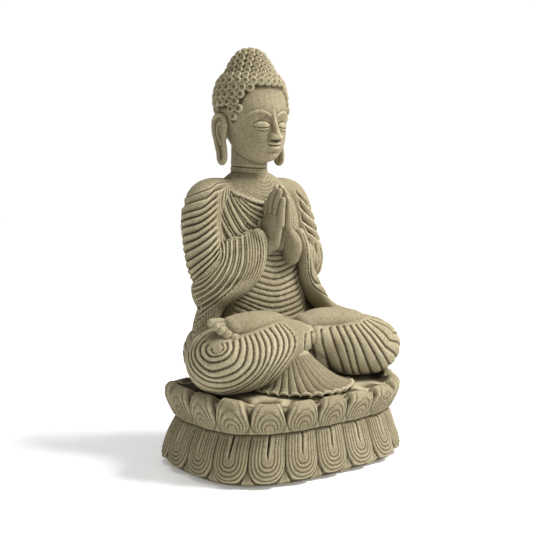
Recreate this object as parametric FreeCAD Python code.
"""Seated praying buddha on a two-tier lotus pedestal, as hollow stone castings joined on dowels.

Millimetres. Origin at the middle of the footprint, on the surface that the pads stand on.
+Z is up, the figure looks along -Y, and its left side is +X.
"""

import FreeCAD, Part
import math
import os

from FreeCAD import Matrix, Placement, Rotation, Vector

# ---- pedestal ---------------------------------------------------------------
PEDESTAL_WIDTH = 266.0       # across the petals, left to right
PEDESTAL_DEPTH = 200.0       # across the petals, front to back
PLAN_POWER = 3.0             # roundness of the plan outline, 2 is an ellipse
WAIST_INSET = 14.0           # how far the waist lies inside the petals
RIM_INSET = 7.0              # how far the plinth and the seat's edge lie inside the petals
LOWER_TIER_HEIGHT = 49.5     # plinth rim to waist
UPPER_TIER_HEIGHT = 33.0     # waist to seat
PETAL_COUNT = 20
PETAL_RELIEF = 3.5           # how far a petal's crown stands in front of the cleft beside it
TIER_WALL = 8.0              # wall of the two tiers, their floors included

# ---- underside --------------------------------------------------------------
RIM_GAP = 1.5                # plinth rim above the ground
PAD_THICKNESS = 3.0
PAD_RADIUS = 9.0
COVER_THICKNESS = 4.0
COVER_CLEARANCE = 0.5        # gap round the cover, in its rebate
RIM_WALL = 6.0               # stone outside the rebate
REBATE = 5.0                 # width of the ledge that the cover seats on
SCREW_RADIUS = 2.0           # M4
SCREW_LENGTH = 12.0
SCREW_HEAD_RADIUS = 4.0
INSERT_RADIUS = 3.5
INSERT_LENGTH = 10.0
SCREW_BOSS_RADIUS = 7.5
SCREW_EDGE = 2.0             # from the rebate's edge to a screw boss
SCREW_HEAD_HEIGHT = 2.2
SCREW_SLOT = 1.0             # width and depth
SCREW_CLEARANCE = 0.3        # round the screws, in the cover
PAD_CHAMFER = 0.6

# ---- tie rod and dowels ------------------------------------------------------
ROD_RADIUS = 4.0             # M8
ROD_CLEARANCE = 0.5          # round the rod, where it passes through a casting
ROD_THREAD_OUT = 4.0         # rod past the nut
ROD_Y = 6.0                  # rod behind the pedestal's middle
WASHER_RADIUS = 12.0
WASHER_THICKNESS = 1.6
NUT_ACROSS_FLATS = 13.0
NUT_HEIGHT = 6.5
ANCHOR_HEIGHT = 24.0         # long nut cast into the legs
ANCHOR_COVER = 10.0          # stone round the long nut
DOWEL_RADIUS = 4.0
DOWEL_LENGTH = 18.0
DOWEL_BOSS_RADIUS = 9.0
DOWEL_COVER = 4.0            # stone past the end of a dowel
WRIST_DOWEL_RADIUS = 2.5
WRIST_DOWEL_LENGTH = 20.0
WRIST_X = 15.0               # middle of a wrist

# ---- figure, heights above the seat -------------------------------------------
HEAD_HEIGHT = 130.0          # jaw to the top of the crown
JAW_RISE = 17.0              # jaw above the neck joint
KNEE_SPAN = 264.0            # outside of one knee to the outside of the other
KNEE_HEIGHT = 72.0
WAIST_JOINT_HEIGHT = 62.0    # where the torso stands on the legs
SHOULDER_WIDTH = 176.0       # over the sleeves
SHOULDER_HEIGHT = 222.0
NECK_JOINT_HEIGHT = 219.0    # where the head's neck stands in the collar
FIGURE_WALL = 8.0
SPIGOT_HEIGHT = 5.0          # rim on the legs that centres the torso
SPIGOT_CLEARANCE = 0.4       # round the neck's spigot
RIM_CLEARANCE = 3.5          # mortar round the legs' rim, inside the torso
RIM_WIDTH = 6.0
NECK_RADIUS = 20.0
NECK_SPIGOT_RADIUS = 12.0
NECK_SPIGOT_LENGTH = 16.0
NECK_DOWEL_LENGTH = 40.0
KNOT_HEIGHT = 26.0           # the crown's knot above the skull
HEAD_WALL = 12.0
EAR_HALF_THICKNESS = 5.0
EAR_HALF_DEPTH = 9.0
KNEE_HALF_LENGTH = 50.0      # half axes of the leg masses
KNEE_HALF_DEPTH = 44.0
SHIN_X = 44.0                # middle of a shin
SHIN_HALF_LENGTH = 62.0
SHIN_HALF_DEPTH = 38.0
SHIN_TURN = 4.0              # degrees
LAP_HALF_LENGTH = 62.0
LAP_HALF_DEPTH = 54.0
LAP_FORWARD = 42.0           # middle of the lap in front of the torso's middle
HIP_HALF_LENGTH = 90.0
HIP_HALF_DEPTH = 46.0
FOOT_X = 60.0                # middle of a sole, lying on the thigh
FOOT_HEIGHT = 66.0
FOOT_FORWARD = 16.0          # in front of the knees' middle
FOOT_HALF = (40.0, 17.0, 12.0)
FOOT_TURN = 6.0
FOOT_LEAN = 4.0
TOES_X = 101.0
TOES_HEIGHT = 61.0
TOES_FORWARD = 24.0
TOES_HALF = (9.0, 15.0, 9.0)
TOES_TURN = 12.0
FAN_FORWARD = 24.0           # middle of the hem's fan in front of the knees' middle
FAN_TOP_SHARE = 0.125        # fan's top against its hem
FAN_HALF_WIDTH = 60.0
FAN_HALF_DEPTH = 48.0
FAN_HEIGHT = 43.0
FAN_RIM = 3.0                # thickness of the hem's edge
PALM_GAP = 0.3               # between the two palms
BODY_Y = 52.0                # middle of the torso, behind the pedestal's middle
HEAD_Y = 56.0                # middle of the head
KNEE_Y = -26.0               # middle of the knees
HAND_Y = 17.0                # middle of the joined hands
HAND_LEAN = 0.12             # how far the hands lean forward with height
SHOULDER_JOINT_X = 62.0      # where the arms are pinned to the torso
SLEEVE_INNER_X = 9.0         # end of the sleeve, beside the wrists
SLEEVE_DROP = 26.0           # how far the sleeve's middle hangs below the elbow
ARM_LEAN = 18.0              # degrees
TORSO_POWER = 2.3
WRIST_HEIGHT = 152.0
FINGERTIP_HEIGHT = 214.0
ELBOW_HEIGHT = 122.0
HEAD_HALF_WIDTH = 43.0       # over the curls
HEAD_HALF_DEPTH = 42.0

WAIST_Z = RIM_GAP + LOWER_TIER_HEIGHT
SEAT_Z = WAIST_Z + UPPER_TIER_HEIGHT
COVER_TOP = PAD_THICKNESS + COVER_THICKNESS
COVER_INSET = RIM_INSET + RIM_WALL   # edge of the rebate that the cover lies in
HALF_W = PEDESTAL_WIDTH / 2
HALF_D = PEDESTAL_DEPTH / 2
BIG = 1000.0


# ---- helpers --------------------------------------------------------------------
def at(x, y, height):
    """A point of the figure, its height measured from the seat."""
    return Vector(x, y, SEAT_Z + height)


def outline(half_x, half_y, z, centre_y=0.0, power=PLAN_POWER, lobes=0, relief=0.0):
    """A closed rounded outline at z, with evenly spaced lobes along its length if asked for."""
    fine = 1440
    ring = []
    for i in range(fine + 1):
        turn = -math.pi / 2 + 2 * math.pi * i / fine
        c, s = math.cos(turn), math.sin(turn)
        ring.append(Vector(half_x * math.copysign(abs(c) ** (2 / power), c),
                           half_y * math.copysign(abs(s) ** (2 / power), s), 0))
    run = [0.0]
    for a, b in zip(ring, ring[1:]):
        run.append(run[-1] + a.distanceToPoint(b))
    count = lobes * 6 if lobes else 40
    points, k = [], 0
    for i in range(count):
        want = run[-1] * i / count
        while run[k + 1] < want:
            k += 1
        share = (want - run[k]) / max(run[k + 1] - run[k], 1e-9)
        p = ring[k] + (ring[k + 1] - ring[k]) * share
        along = (ring[k + 1] - ring[k]).normalize()
        outward = Vector(along.y, -along.x, 0)
        crown = abs(math.sin(math.pi * lobes * i / count)) if lobes else 1.0
        points.append(p - outward * relief * (1 - crown) + Vector(0, centre_y, z))
    curve = Part.BSplineCurve()
    curve.interpolate(Points=points, PeriodicFlag=True)
    return Part.Wire(curve.toShape())


def loft(wires):
    return Part.makeLoft(wires, True)


def prism(wire, height):
    return Part.Face(wire).extrude(Vector(0, 0, height))


def rod(radius, length, base, direction=Vector(0, 0, 1)):
    return Part.makeCylinder(radius, length, base, direction)


def hexagon(across_flats, height, z):
    """A hexagonal bar on the tie rod's axis."""
    corner = across_flats / math.sqrt(3)
    turns = [math.radians(60 * i) for i in range(7)]
    points = [Vector(corner * math.cos(t), ROD_Y + corner * math.sin(t), z) for t in turns]
    return Part.Face(Part.makePolygon(points)).extrude(Vector(0, 0, height))


def ellipsoid(centre, half, turn=0.0, lean=0.0):
    """Half axes along X, Y and Z, leaned about Y and then turned about Z, in degrees."""
    scale = Matrix()
    scale.scale(Vector(*half))
    ball = Part.makeSphere(1.0).transformGeometry(scale)
    lean_turn = Rotation(Vector(0, 0, 1), turn).multiply(Rotation(Vector(0, 1, 0), lean))
    ball.Placement = Placement(centre, lean_turn)
    return ball


def ellipse_section(centre, normal, across, up_half, across_half):
    """A closed ellipse: `across` is the direction of its across_half, the other axis is up_half."""
    normal = Vector(normal).normalize()
    across = (Vector(across) - normal * Vector(across).dot(normal)).normalize()
    up = normal.cross(across)
    points = []
    for i in range(24):
        t = 2 * math.pi * i / 24
        points.append(centre + across * (across_half * math.cos(t)) + up * (up_half * math.sin(t)))
    curve = Part.BSplineCurve()
    curve.interpolate(Points=points, PeriodicFlag=True)
    return Part.Wire(curve.toShape())


def mirrored(shape):
    return shape.mirror(Vector(0, 0, 0), Vector(1, 0, 0))


def half_space(axis, limit, keep_above):
    """A large box on one side of a plane across an axis, for trimming."""
    low = [-BIG, -BIG, -BIG]
    size = [2 * BIG, 2 * BIG, 2 * BIG]
    low["xyz".index(axis)] = limit if keep_above else limit - 2 * BIG
    return Part.makeBox(*size, Vector(*low))


def biggest(shape):
    """The largest solid of a result, as one clean solid."""
    solid = max(shape.Solids, key=lambda s: s.Volume)
    return solid


# ---- pedestal ----------------------------------------------------------------------
def tier(levels, cavity_levels):
    """A hollow tier: levels are (z, inset, relief) of its petals, cavity_levels are (z, inset)."""
    outer = loft([outline(HALF_W - inset, HALF_D - inset, z, lobes=PETAL_COUNT, relief=relief)
                  for z, inset, relief in levels])
    inner = loft([outline(HALF_W - inset, HALF_D - inset, z) for z, inset in cavity_levels])
    return outer.cut(inner)


def lower_lotus_tier():
    drop = LOWER_TIER_HEIGHT
    floor_z = WAIST_Z - TIER_WALL
    body = tier(
        [(RIM_GAP, RIM_INSET, 1.0), (RIM_GAP + 0.12 * drop, 0.0, PETAL_RELIEF),
         (RIM_GAP + 0.45 * drop, 3.0, PETAL_RELIEF), (RIM_GAP + 0.8 * drop, 10.0, 2.0),
         (WAIST_Z, WAIST_INSET, 0.6)],
        [(COVER_TOP, COVER_INSET + REBATE), (floor_z, WAIST_INSET + TIER_WALL)])
    body = body.cut(prism(outline(HALF_W - COVER_INSET, HALF_D - COVER_INSET, RIM_GAP - 1),
                          COVER_TOP - RIM_GAP + 1))
    for x, y in screw_places():
        boss = rod(SCREW_BOSS_RADIUS, floor_z - COVER_TOP, Vector(x, y, COVER_TOP))
        body = body.fuse(boss)
        body = body.cut(rod(INSERT_RADIUS, SCREW_LENGTH, Vector(x, y, COVER_TOP)))
    body = body.cut(rod(ROD_RADIUS + ROD_CLEARANCE, TIER_WALL + 2, Vector(0, ROD_Y, floor_z - 1)))
    for x, y in tier_dowel_places():
        body = body.fuse(rod(DOWEL_BOSS_RADIUS, DOWEL_LENGTH / 2 + DOWEL_COVER,
                             Vector(x, y, WAIST_Z - DOWEL_LENGTH / 2 - DOWEL_COVER)))
        body = body.cut(rod(DOWEL_RADIUS, DOWEL_LENGTH / 2, Vector(x, y, WAIST_Z - DOWEL_LENGTH / 2)))
    return biggest(body)


def screw_places():
    """Six screws round the cover, inside its edge and clear of the pads."""
    inset = COVER_INSET + SCREW_BOSS_RADIUS + SCREW_EDGE
    x, y = HALF_W - inset, HALF_D - inset
    between = 0.35 * PEDESTAL_WIDTH / 2
    return [(-x, 0), (x, 0), (-between, -y), (between, -y), (-between, y), (between, y)]


def tier_dowel_places():
    return [(-0.6 * HALF_W, 0.0), (0.6 * HALF_W, 0.0)]


def figure_dowel_places():
    return [(-0.3 * KNEE_SPAN, 8.0), (0.3 * KNEE_SPAN, 8.0)]


def upper_lotus_tier():
    rise = UPPER_TIER_HEIGHT
    plate_z = SEAT_Z - TIER_WALL
    body = tier(
        [(WAIST_Z, WAIST_INSET, 0.6), (WAIST_Z + 0.35 * rise, 8.0, 2.0),
         (WAIST_Z + 0.75 * rise, 1.0, PETAL_RELIEF), (SEAT_Z - 2.0, 0.0, PETAL_RELIEF),
         (SEAT_Z, RIM_INSET / 2, PETAL_RELIEF)],
        [(WAIST_Z - 1, WAIST_INSET + TIER_WALL), (plate_z, TIER_WALL + 4.0)])
    for x, y in tier_dowel_places():
        body = body.fuse(rod(DOWEL_BOSS_RADIUS, plate_z - WAIST_Z + 1, Vector(x, y, WAIST_Z)))
        body = body.cut(rod(DOWEL_RADIUS, DOWEL_LENGTH / 2, Vector(x, y, WAIST_Z)))
    for x, y in figure_dowel_places():
        body = body.fuse(rod(DOWEL_BOSS_RADIUS, DOWEL_LENGTH / 2 + DOWEL_COVER,
                             Vector(x, y, SEAT_Z - DOWEL_LENGTH / 2 - DOWEL_COVER)))
        body = body.cut(rod(DOWEL_RADIUS, DOWEL_LENGTH / 2, Vector(x, y, SEAT_Z - DOWEL_LENGTH / 2)))
    body = body.cut(rod(ROD_RADIUS + ROD_CLEARANCE, TIER_WALL + 2, Vector(0, ROD_Y, plate_z - 1)))
    return biggest(body)


def base_cover():
    edge = COVER_INSET + COVER_CLEARANCE
    plate = prism(outline(HALF_W - edge, HALF_D - edge, PAD_THICKNESS), COVER_THICKNESS)
    for x, y in screw_places():
        plate = plate.cut(rod(SCREW_RADIUS + SCREW_CLEARANCE, COVER_THICKNESS, Vector(x, y, PAD_THICKNESS)))
        plate = plate.cut(screw_head(x, y, SCREW_CLEARANCE))
    return plate


def screw_head(x, y, clearance=0.0):
    """A countersunk head in the cover's underside."""
    return Part.makeCone(SCREW_HEAD_RADIUS + clearance, SCREW_RADIUS + clearance, SCREW_HEAD_HEIGHT,
                         Vector(x, y, PAD_THICKNESS))


def cover_screws():
    screws = []
    for x, y in screw_places():
        shank = rod(SCREW_RADIUS, SCREW_LENGTH, Vector(x, y, PAD_THICKNESS))
        slot = Part.makeBox(2 * SCREW_HEAD_RADIUS, SCREW_SLOT, SCREW_SLOT,
                            Vector(x - SCREW_HEAD_RADIUS, y - SCREW_SLOT / 2, PAD_THICKNESS))
        screws.append(screw_head(x, y).fuse(shank).cut(slot))
    return Part.makeCompound([s.Solids[0] for s in screws])


def screw_inserts():
    inserts = []
    for x, y in screw_places():
        sleeve = rod(INSERT_RADIUS, INSERT_LENGTH, Vector(x, y, COVER_TOP))
        inserts.append(sleeve.cut(rod(SCREW_RADIUS, INSERT_LENGTH, Vector(x, y, COVER_TOP))))
    return Part.makeCompound([s.Solids[0] for s in inserts])


def pad_places():
    x, y = 0.66 * HALF_W, 0.60 * HALF_D
    return [(-x, -y), (0, -y), (x, -y), (-x, y), (0, y), (x, y)]


def foot_pad(x, y):
    pad = rod(PAD_RADIUS, PAD_THICKNESS, Vector(x, y, 0))
    lower_edge = min(pad.Edges, key=lambda edge: edge.BoundBox.ZMax)
    return pad.makeChamfer(PAD_CHAMFER, [lower_edge])


# ---- tie rod and dowels --------------------------------------------------------------
NUT_TOP = WAIST_Z - TIER_WALL - WASHER_THICKNESS
NUT_BOTTOM = NUT_TOP - NUT_HEIGHT


def tie_rod():
    bottom = NUT_BOTTOM - ROD_THREAD_OUT
    return rod(ROD_RADIUS, SEAT_Z + ANCHOR_HEIGHT - bottom, Vector(0, ROD_Y, bottom))


def anchor_nut():
    nut = hexagon(NUT_ACROSS_FLATS, ANCHOR_HEIGHT, SEAT_Z)
    return nut.cut(rod(ROD_RADIUS, ANCHOR_HEIGHT, Vector(0, ROD_Y, SEAT_Z)))


def tie_nut():
    nut = hexagon(NUT_ACROSS_FLATS, NUT_HEIGHT, NUT_BOTTOM)
    return nut.cut(rod(ROD_RADIUS, NUT_HEIGHT, Vector(0, ROD_Y, NUT_BOTTOM)))


def tie_washer():
    disc = rod(WASHER_RADIUS, WASHER_THICKNESS, Vector(0, ROD_Y, NUT_TOP))
    return disc.cut(rod(ROD_RADIUS + ROD_CLEARANCE, WASHER_THICKNESS, Vector(0, ROD_Y, NUT_TOP)))


def upright_dowels(places, joint_z):
    pins = [rod(DOWEL_RADIUS, DOWEL_LENGTH, Vector(x, y, joint_z - DOWEL_LENGTH / 2)) for x, y in places]
    return Part.makeCompound(pins)


# ---- figure ------------------------------------------------------------------------------
HALF_KNEES = KNEE_SPAN / 2
HALF_SHOULDERS = SHOULDER_WIDTH / 2


def leg_masses(skin):
    """The rounded masses of the crossed legs, each taken in by skin."""
    masses = []
    for side in (-1, 1):
        masses.append(ellipsoid(
            at(side * (HALF_KNEES - KNEE_HALF_LENGTH), KNEE_Y, 0.44 * KNEE_HEIGHT),
            (KNEE_HALF_LENGTH - skin, KNEE_HALF_DEPTH - skin, 0.56 * KNEE_HEIGHT - skin)))
        masses.append(ellipsoid(
            at(side * SHIN_X, KNEE_Y - 4, 0.42 * KNEE_HEIGHT),
            (SHIN_HALF_LENGTH - skin, SHIN_HALF_DEPTH - skin, 0.55 * KNEE_HEIGHT - skin),
            side * SHIN_TURN))
    masses.append(ellipsoid(
        at(0, BODY_Y - LAP_FORWARD, 0.40 * KNEE_HEIGHT),
        (LAP_HALF_LENGTH - skin, LAP_HALF_DEPTH - skin, 0.5 * KNEE_HEIGHT - skin)))
    masses.append(ellipsoid(
        at(0, BODY_Y - 4, 0.34 * KNEE_HEIGHT),
        (HIP_HALF_LENGTH - skin, HIP_HALF_DEPTH - skin, 0.72 * KNEE_HEIGHT - skin)))
    return masses


def fused(shapes):
    result = shapes[0]
    for shape in shapes[1:]:
        result = result.fuse(shape)
    return result


def torso_outline(height, centre_y, half_x, half_y, skin=0.0):
    return outline(half_x - skin, half_y - skin, SEAT_Z + height, centre_y, TORSO_POWER)


# height above the seat, middle, half width, half depth
TORSO_LEVELS = [
    (WAIST_JOINT_HEIGHT, BODY_Y - 4, 64, 43),
    (0.42 * SHOULDER_HEIGHT, BODY_Y - 6, 60, 41),
    (0.55 * SHOULDER_HEIGHT, BODY_Y - 2, 59, 38),
    (0.66 * SHOULDER_HEIGHT, BODY_Y + 2, 62, 31),
    (0.78 * SHOULDER_HEIGHT, BODY_Y + 4, 68, 28),
    (0.88 * SHOULDER_HEIGHT, BODY_Y + 4, 70, 27),
    (0.95 * SHOULDER_HEIGHT, BODY_Y + 4, 52, 25),
    (NECK_JOINT_HEIGHT, HEAD_Y, NECK_RADIUS + 8, NECK_RADIUS + 5),
]


def front_hem_fan():
    """The pleated hem that spreads on the seat in front of the shins."""
    rim = rod(FAN_HALF_WIDTH, FAN_RIM, Vector(0, 0, 0))
    slope = Part.makeCone(FAN_HALF_WIDTH, FAN_HALF_WIDTH * FAN_TOP_SHARE, FAN_HEIGHT - FAN_RIM,
                          Vector(0, 0, FAN_RIM))
    oval = Matrix()
    oval.scale(Vector(1.0, FAN_HALF_DEPTH / FAN_HALF_WIDTH, 1.0))
    fan = rim.fuse(slope).transformGeometry(oval)
    fan.translate(at(0, KNEE_Y - FAN_FORWARD, 0))
    return fan


def foot_masses(side):
    """A foot lying sole up on the opposite thigh, toes outward."""
    sole = ellipsoid(at(side * FOOT_X, KNEE_Y - FOOT_FORWARD, FOOT_HEIGHT), FOOT_HALF,
                     side * FOOT_TURN, side * FOOT_LEAN)
    toes = ellipsoid(at(side * TOES_X, KNEE_Y - TOES_FORWARD, TOES_HEIGHT), TOES_HALF, side * TOES_TURN)
    return [sole, toes]


def crossed_legs():
    outside = fused(leg_masses(0.0) + foot_masses(-1) + foot_masses(1) + [front_hem_fan()])
    outside = outside.cut(torso_block())
    hollow = fused(leg_masses(FIGURE_WALL))
    hollow = hollow.common(half_space("z", SEAT_Z + WAIST_JOINT_HEIGHT - FIGURE_WALL, False))
    body = outside.cut(hollow)
    boss = rod(NUT_ACROSS_FLATS / 2 + ANCHOR_COVER, 0.62 * KNEE_HEIGHT, Vector(0, ROD_Y, SEAT_Z))
    body = body.fuse(boss)
    body = body.cut(hexagon(NUT_ACROSS_FLATS, ANCHOR_HEIGHT, SEAT_Z))
    for x, y in figure_dowel_places():
        body = body.fuse(rod(DOWEL_BOSS_RADIUS, 0.7 * KNEE_HEIGHT, Vector(x, y, SEAT_Z)))
        body = body.cut(rod(DOWEL_RADIUS, DOWEL_LENGTH / 2, Vector(x, y, SEAT_Z)))
    spigot_skin = FIGURE_WALL + RIM_CLEARANCE
    height, centre_y, half_x, half_y = TORSO_LEVELS[0]
    rim = prism(torso_outline(height, centre_y, half_x, half_y, spigot_skin), SPIGOT_HEIGHT)
    inside = torso_outline(height, centre_y, half_x, half_y, spigot_skin + RIM_WIDTH)
    rim = rim.cut(prism(inside, SPIGOT_HEIGHT))
    body = body.fuse(rim)
    return biggest(body.cut(half_space("z", SEAT_Z, False)))


def shoulder_dowel_axis(side):
    """Start of a shoulder dowel inside the torso, and its direction outwards."""
    start = at(side * (SHOULDER_JOINT_X - DOWEL_LENGTH / 2), BODY_Y + 4, 0.80 * SHOULDER_HEIGHT)
    return start, Vector(side, 0, 0)


def torso_block():
    return loft([torso_outline(*level) for level in TORSO_LEVELS])


def torso():
    outer = torso_block()
    outer = outer.common(half_space("x", SHOULDER_JOINT_X, False))
    outer = outer.common(half_space("x", -SHOULDER_JOINT_X, True))
    hollow = loft([torso_outline(*level, FIGURE_WALL) for level in TORSO_LEVELS[:-2]])
    hollow = hollow.common(half_space("x", SHOULDER_JOINT_X - FIGURE_WALL, False))
    hollow = hollow.common(half_space("x", FIGURE_WALL - SHOULDER_JOINT_X, True))
    body = outer.cut(hollow)
    for side in (-1, 1):
        start, out = shoulder_dowel_axis(side)
        body = body.fuse(rod(DOWEL_BOSS_RADIUS, DOWEL_LENGTH / 2 + 4, start - out * 4, out))
    for side in (-1, 1):
        start, out = shoulder_dowel_axis(side)
        body = body.cut(rod(DOWEL_RADIUS, DOWEL_LENGTH, start, out))
    socket_z = SEAT_Z + NECK_JOINT_HEIGHT - NECK_SPIGOT_LENGTH - SPIGOT_CLEARANCE
    body = body.fuse(rod(NECK_SPIGOT_RADIUS + FIGURE_WALL, NECK_SPIGOT_LENGTH - 4,
                         Vector(0, HEAD_Y, socket_z - 3)))
    body = body.cut(rod(NECK_SPIGOT_RADIUS + SPIGOT_CLEARANCE, NECK_SPIGOT_LENGTH + 20,
                        Vector(0, HEAD_Y, socket_z)))
    return biggest(body)


def arm_joints():
    """The right arm's elbow and wrist."""
    elbow = at(-(HALF_SHOULDERS + 2), BODY_Y - 10, ELBOW_HEIGHT)
    wrist = at(-WRIST_X, HAND_Y + 1, WRIST_HEIGHT)
    return elbow, wrist


def arm(torso_shape, legs_shape, hand_shape):
    """The right arm, with the sleeve that hangs from its forearm."""
    elbow, wrist = arm_joints()
    shoulder = ellipsoid(at(-(HALF_SHOULDERS - 33), BODY_Y + 4, 0.86 * SHOULDER_HEIGHT), (32, 26, 30))
    upper_arm = ellipsoid(at(-(HALF_SHOULDERS - 22), BODY_Y + 2, 0.70 * SHOULDER_HEIGHT),
                          (24, 25, 62), 0, ARM_LEAN)
    bend = ellipsoid(elbow + Vector(20, 0, -SLEEVE_DROP), (24, 21, 42), 0, ARM_LEAN / 2)
    along = wrist - elbow
    flat = Vector(along.x, along.y, 0)
    across = Vector(-flat.y, flat.x, 0)
    sections = []
    for share, drop, half_up, half_across in ((0.14, 1.0, 44, 19), (0.40, 0.8, 45, 17),
                                              (0.7, 0.6, 40, 13), (0.95, 0.3, 27, 10)):
        middle = elbow + along * share - Vector(0, 0, SLEEVE_DROP * drop)
        sections.append(ellipse_section(middle, flat, across, half_up, half_across))
    body = fused([shoulder, upper_arm, bend, loft(sections)])
    body = body.cut(half_space("x", -SLEEVE_INNER_X, True))
    body = body.cut(torso_shape).cut(legs_shape).cut(hand_shape)
    start, out = shoulder_dowel_axis(-1)
    body = body.cut(rod(DOWEL_RADIUS, DOWEL_LENGTH, start, out))
    return biggest(body)


def wrist_dowel(side):
    """A pin from the heel of the hand into the forearm."""
    elbow, wrist = arm_joints()
    way = (elbow - wrist).normalize()
    start = wrist - way * (WRIST_DOWEL_LENGTH / 2 - 4)
    pin = rod(WRIST_DOWEL_RADIUS, WRIST_DOWEL_LENGTH, start, way)
    return pin if side < 0 else mirrored(pin)


def hand(torso_shape):
    """The right hand, palm on the middle plane, fingers up, its back edge against the chest."""
    up = Vector(0, -0.08, 1)
    levels = [(WRIST_HEIGHT - 12, -17, 8, 11.5), (WRIST_HEIGHT, -14, 9, 12.5),
              (WRIST_HEIGHT + 16, -9, 9, 16), (WRIST_HEIGHT + 32, -6.5, 7, 16.5),
              (WRIST_HEIGHT + 46, -5.5, 6, 12), (FINGERTIP_HEIGHT - 3, -4, 4.5, 7),
              (FINGERTIP_HEIGHT, -3.5, 2.5, 4)]
    sections = []
    for h, x, thick, deep in levels:
        middle = at(x, HAND_Y + HAND_LEAN * (FINGERTIP_HEIGHT - h), h)
        sections.append(ellipse_section(middle, up, (1, 0, 0), deep, thick))
    body = loft(sections)
    body = body.cut(half_space("x", -PALM_GAP / 2, True))
    return biggest(body.cut(torso_shape))


def head():
    """Skull, face, crown knot, ears and neck, with the spigot that stands in the collar."""
    jaw = NECK_JOINT_HEIGHT + JAW_RISE
    crown = jaw + HEAD_HEIGHT
    skull_half = 0.31 * HEAD_HEIGHT
    skull_mid = crown - KNOT_HEIGHT - skull_half
    masses = [
        ellipsoid(at(0, HEAD_Y, skull_mid), (HEAD_HALF_WIDTH, HEAD_HALF_DEPTH, skull_half)),
        ellipsoid(at(0, HEAD_Y - 10, jaw + 0.28 * HEAD_HEIGHT),
                  (0.72 * HEAD_HALF_WIDTH, 0.74 * HEAD_HALF_DEPTH, 0.28 * HEAD_HEIGHT)),
        ellipsoid(at(0, HEAD_Y + 2, crown - KNOT_HEIGHT),
                  (0.55 * HEAD_HALF_WIDTH, 0.55 * HEAD_HALF_DEPTH, KNOT_HEIGHT)),
        loft([outline(NECK_RADIUS + 6, NECK_RADIUS + 3, SEAT_Z + NECK_JOINT_HEIGHT, HEAD_Y, 2.0),
              outline(NECK_RADIUS, NECK_RADIUS, SEAT_Z + NECK_JOINT_HEIGHT + 12, HEAD_Y, 2.0),
              outline(NECK_RADIUS, NECK_RADIUS, SEAT_Z + jaw + 24, HEAD_Y, 2.0)])]
    for side in (-1, 1):
        masses.append(ellipsoid(at(side * (HEAD_HALF_WIDTH - 4), HEAD_Y + 3, jaw + 0.24 * HEAD_HEIGHT),
                                (EAR_HALF_THICKNESS, EAR_HALF_DEPTH, 0.24 * HEAD_HEIGHT)))
    body = fused(masses)
    hollow_half = (HEAD_HALF_WIDTH - HEAD_WALL, HEAD_HALF_DEPTH - HEAD_WALL, skull_half - HEAD_WALL)
    body = body.cut(ellipsoid(at(0, HEAD_Y, skull_mid), hollow_half))
    spigot_foot = at(0, HEAD_Y, NECK_JOINT_HEIGHT - NECK_SPIGOT_LENGTH)
    spigot = rod(NECK_SPIGOT_RADIUS, NECK_SPIGOT_LENGTH, spigot_foot)
    return biggest(body.fuse(spigot).cut(neck_dowel()))


def neck_dowel():
    return rod(DOWEL_RADIUS, NECK_DOWEL_LENGTH, at(0, HEAD_Y, NECK_JOINT_HEIGHT - NECK_SPIGOT_LENGTH))


def shoulder_dowel(side):
    start, out = shoulder_dowel_axis(side)
    return rod(DOWEL_RADIUS, DOWEL_LENGTH, start, out)


# ---- the whole part --------------------------------------------------------------------------
def build():
    nodes = {
        "lower_lotus_tier": lower_lotus_tier(),
        "upper_lotus_tier": upper_lotus_tier(),
        "base_cover": base_cover(),
        "cover_screws": cover_screws(),
        "screw_inserts": screw_inserts(),
        "tie_rod": tie_rod(),
        "anchor_nut": anchor_nut(),
        "tie_nut": tie_nut(),
        "tie_washer": tie_washer(),
        "tier_dowels": upright_dowels(tier_dowel_places(), WAIST_Z),
        "seat_dowels": upright_dowels(figure_dowel_places(), SEAT_Z),
        "neck_dowel": neck_dowel(),
        "head": head(),
    }
    for number, (x, y) in enumerate(pad_places(), 1):
        nodes[f"foot_pad_{number}"] = foot_pad(x, y)
    legs, body = crossed_legs(), torso()
    right_hand = hand(body)
    right_arm = arm(body, legs, right_hand.fuse(wrist_dowel(-1)))
    right_hand = biggest(right_hand.cut(wrist_dowel(-1)))
    nodes["crossed_legs"] = legs
    nodes["torso"] = body
    nodes["right_sleeved_arm"] = right_arm
    nodes["left_sleeved_arm"] = mirrored(right_arm)
    nodes["right_hand"] = right_hand
    nodes["left_hand"] = biggest(mirrored(right_hand).cut(body))
    for side, name in ((-1, "right"), (1, "left")):
        nodes[f"{name}_shoulder_dowel"] = shoulder_dowel(side)
        nodes[f"{name}_wrist_dowel"] = wrist_dowel(side)
    return nodes


def main():
    os.makedirs("parts", exist_ok=True)
    for name, shape in build().items():
        shape.exportStep(f"parts/{name}.step")


main()
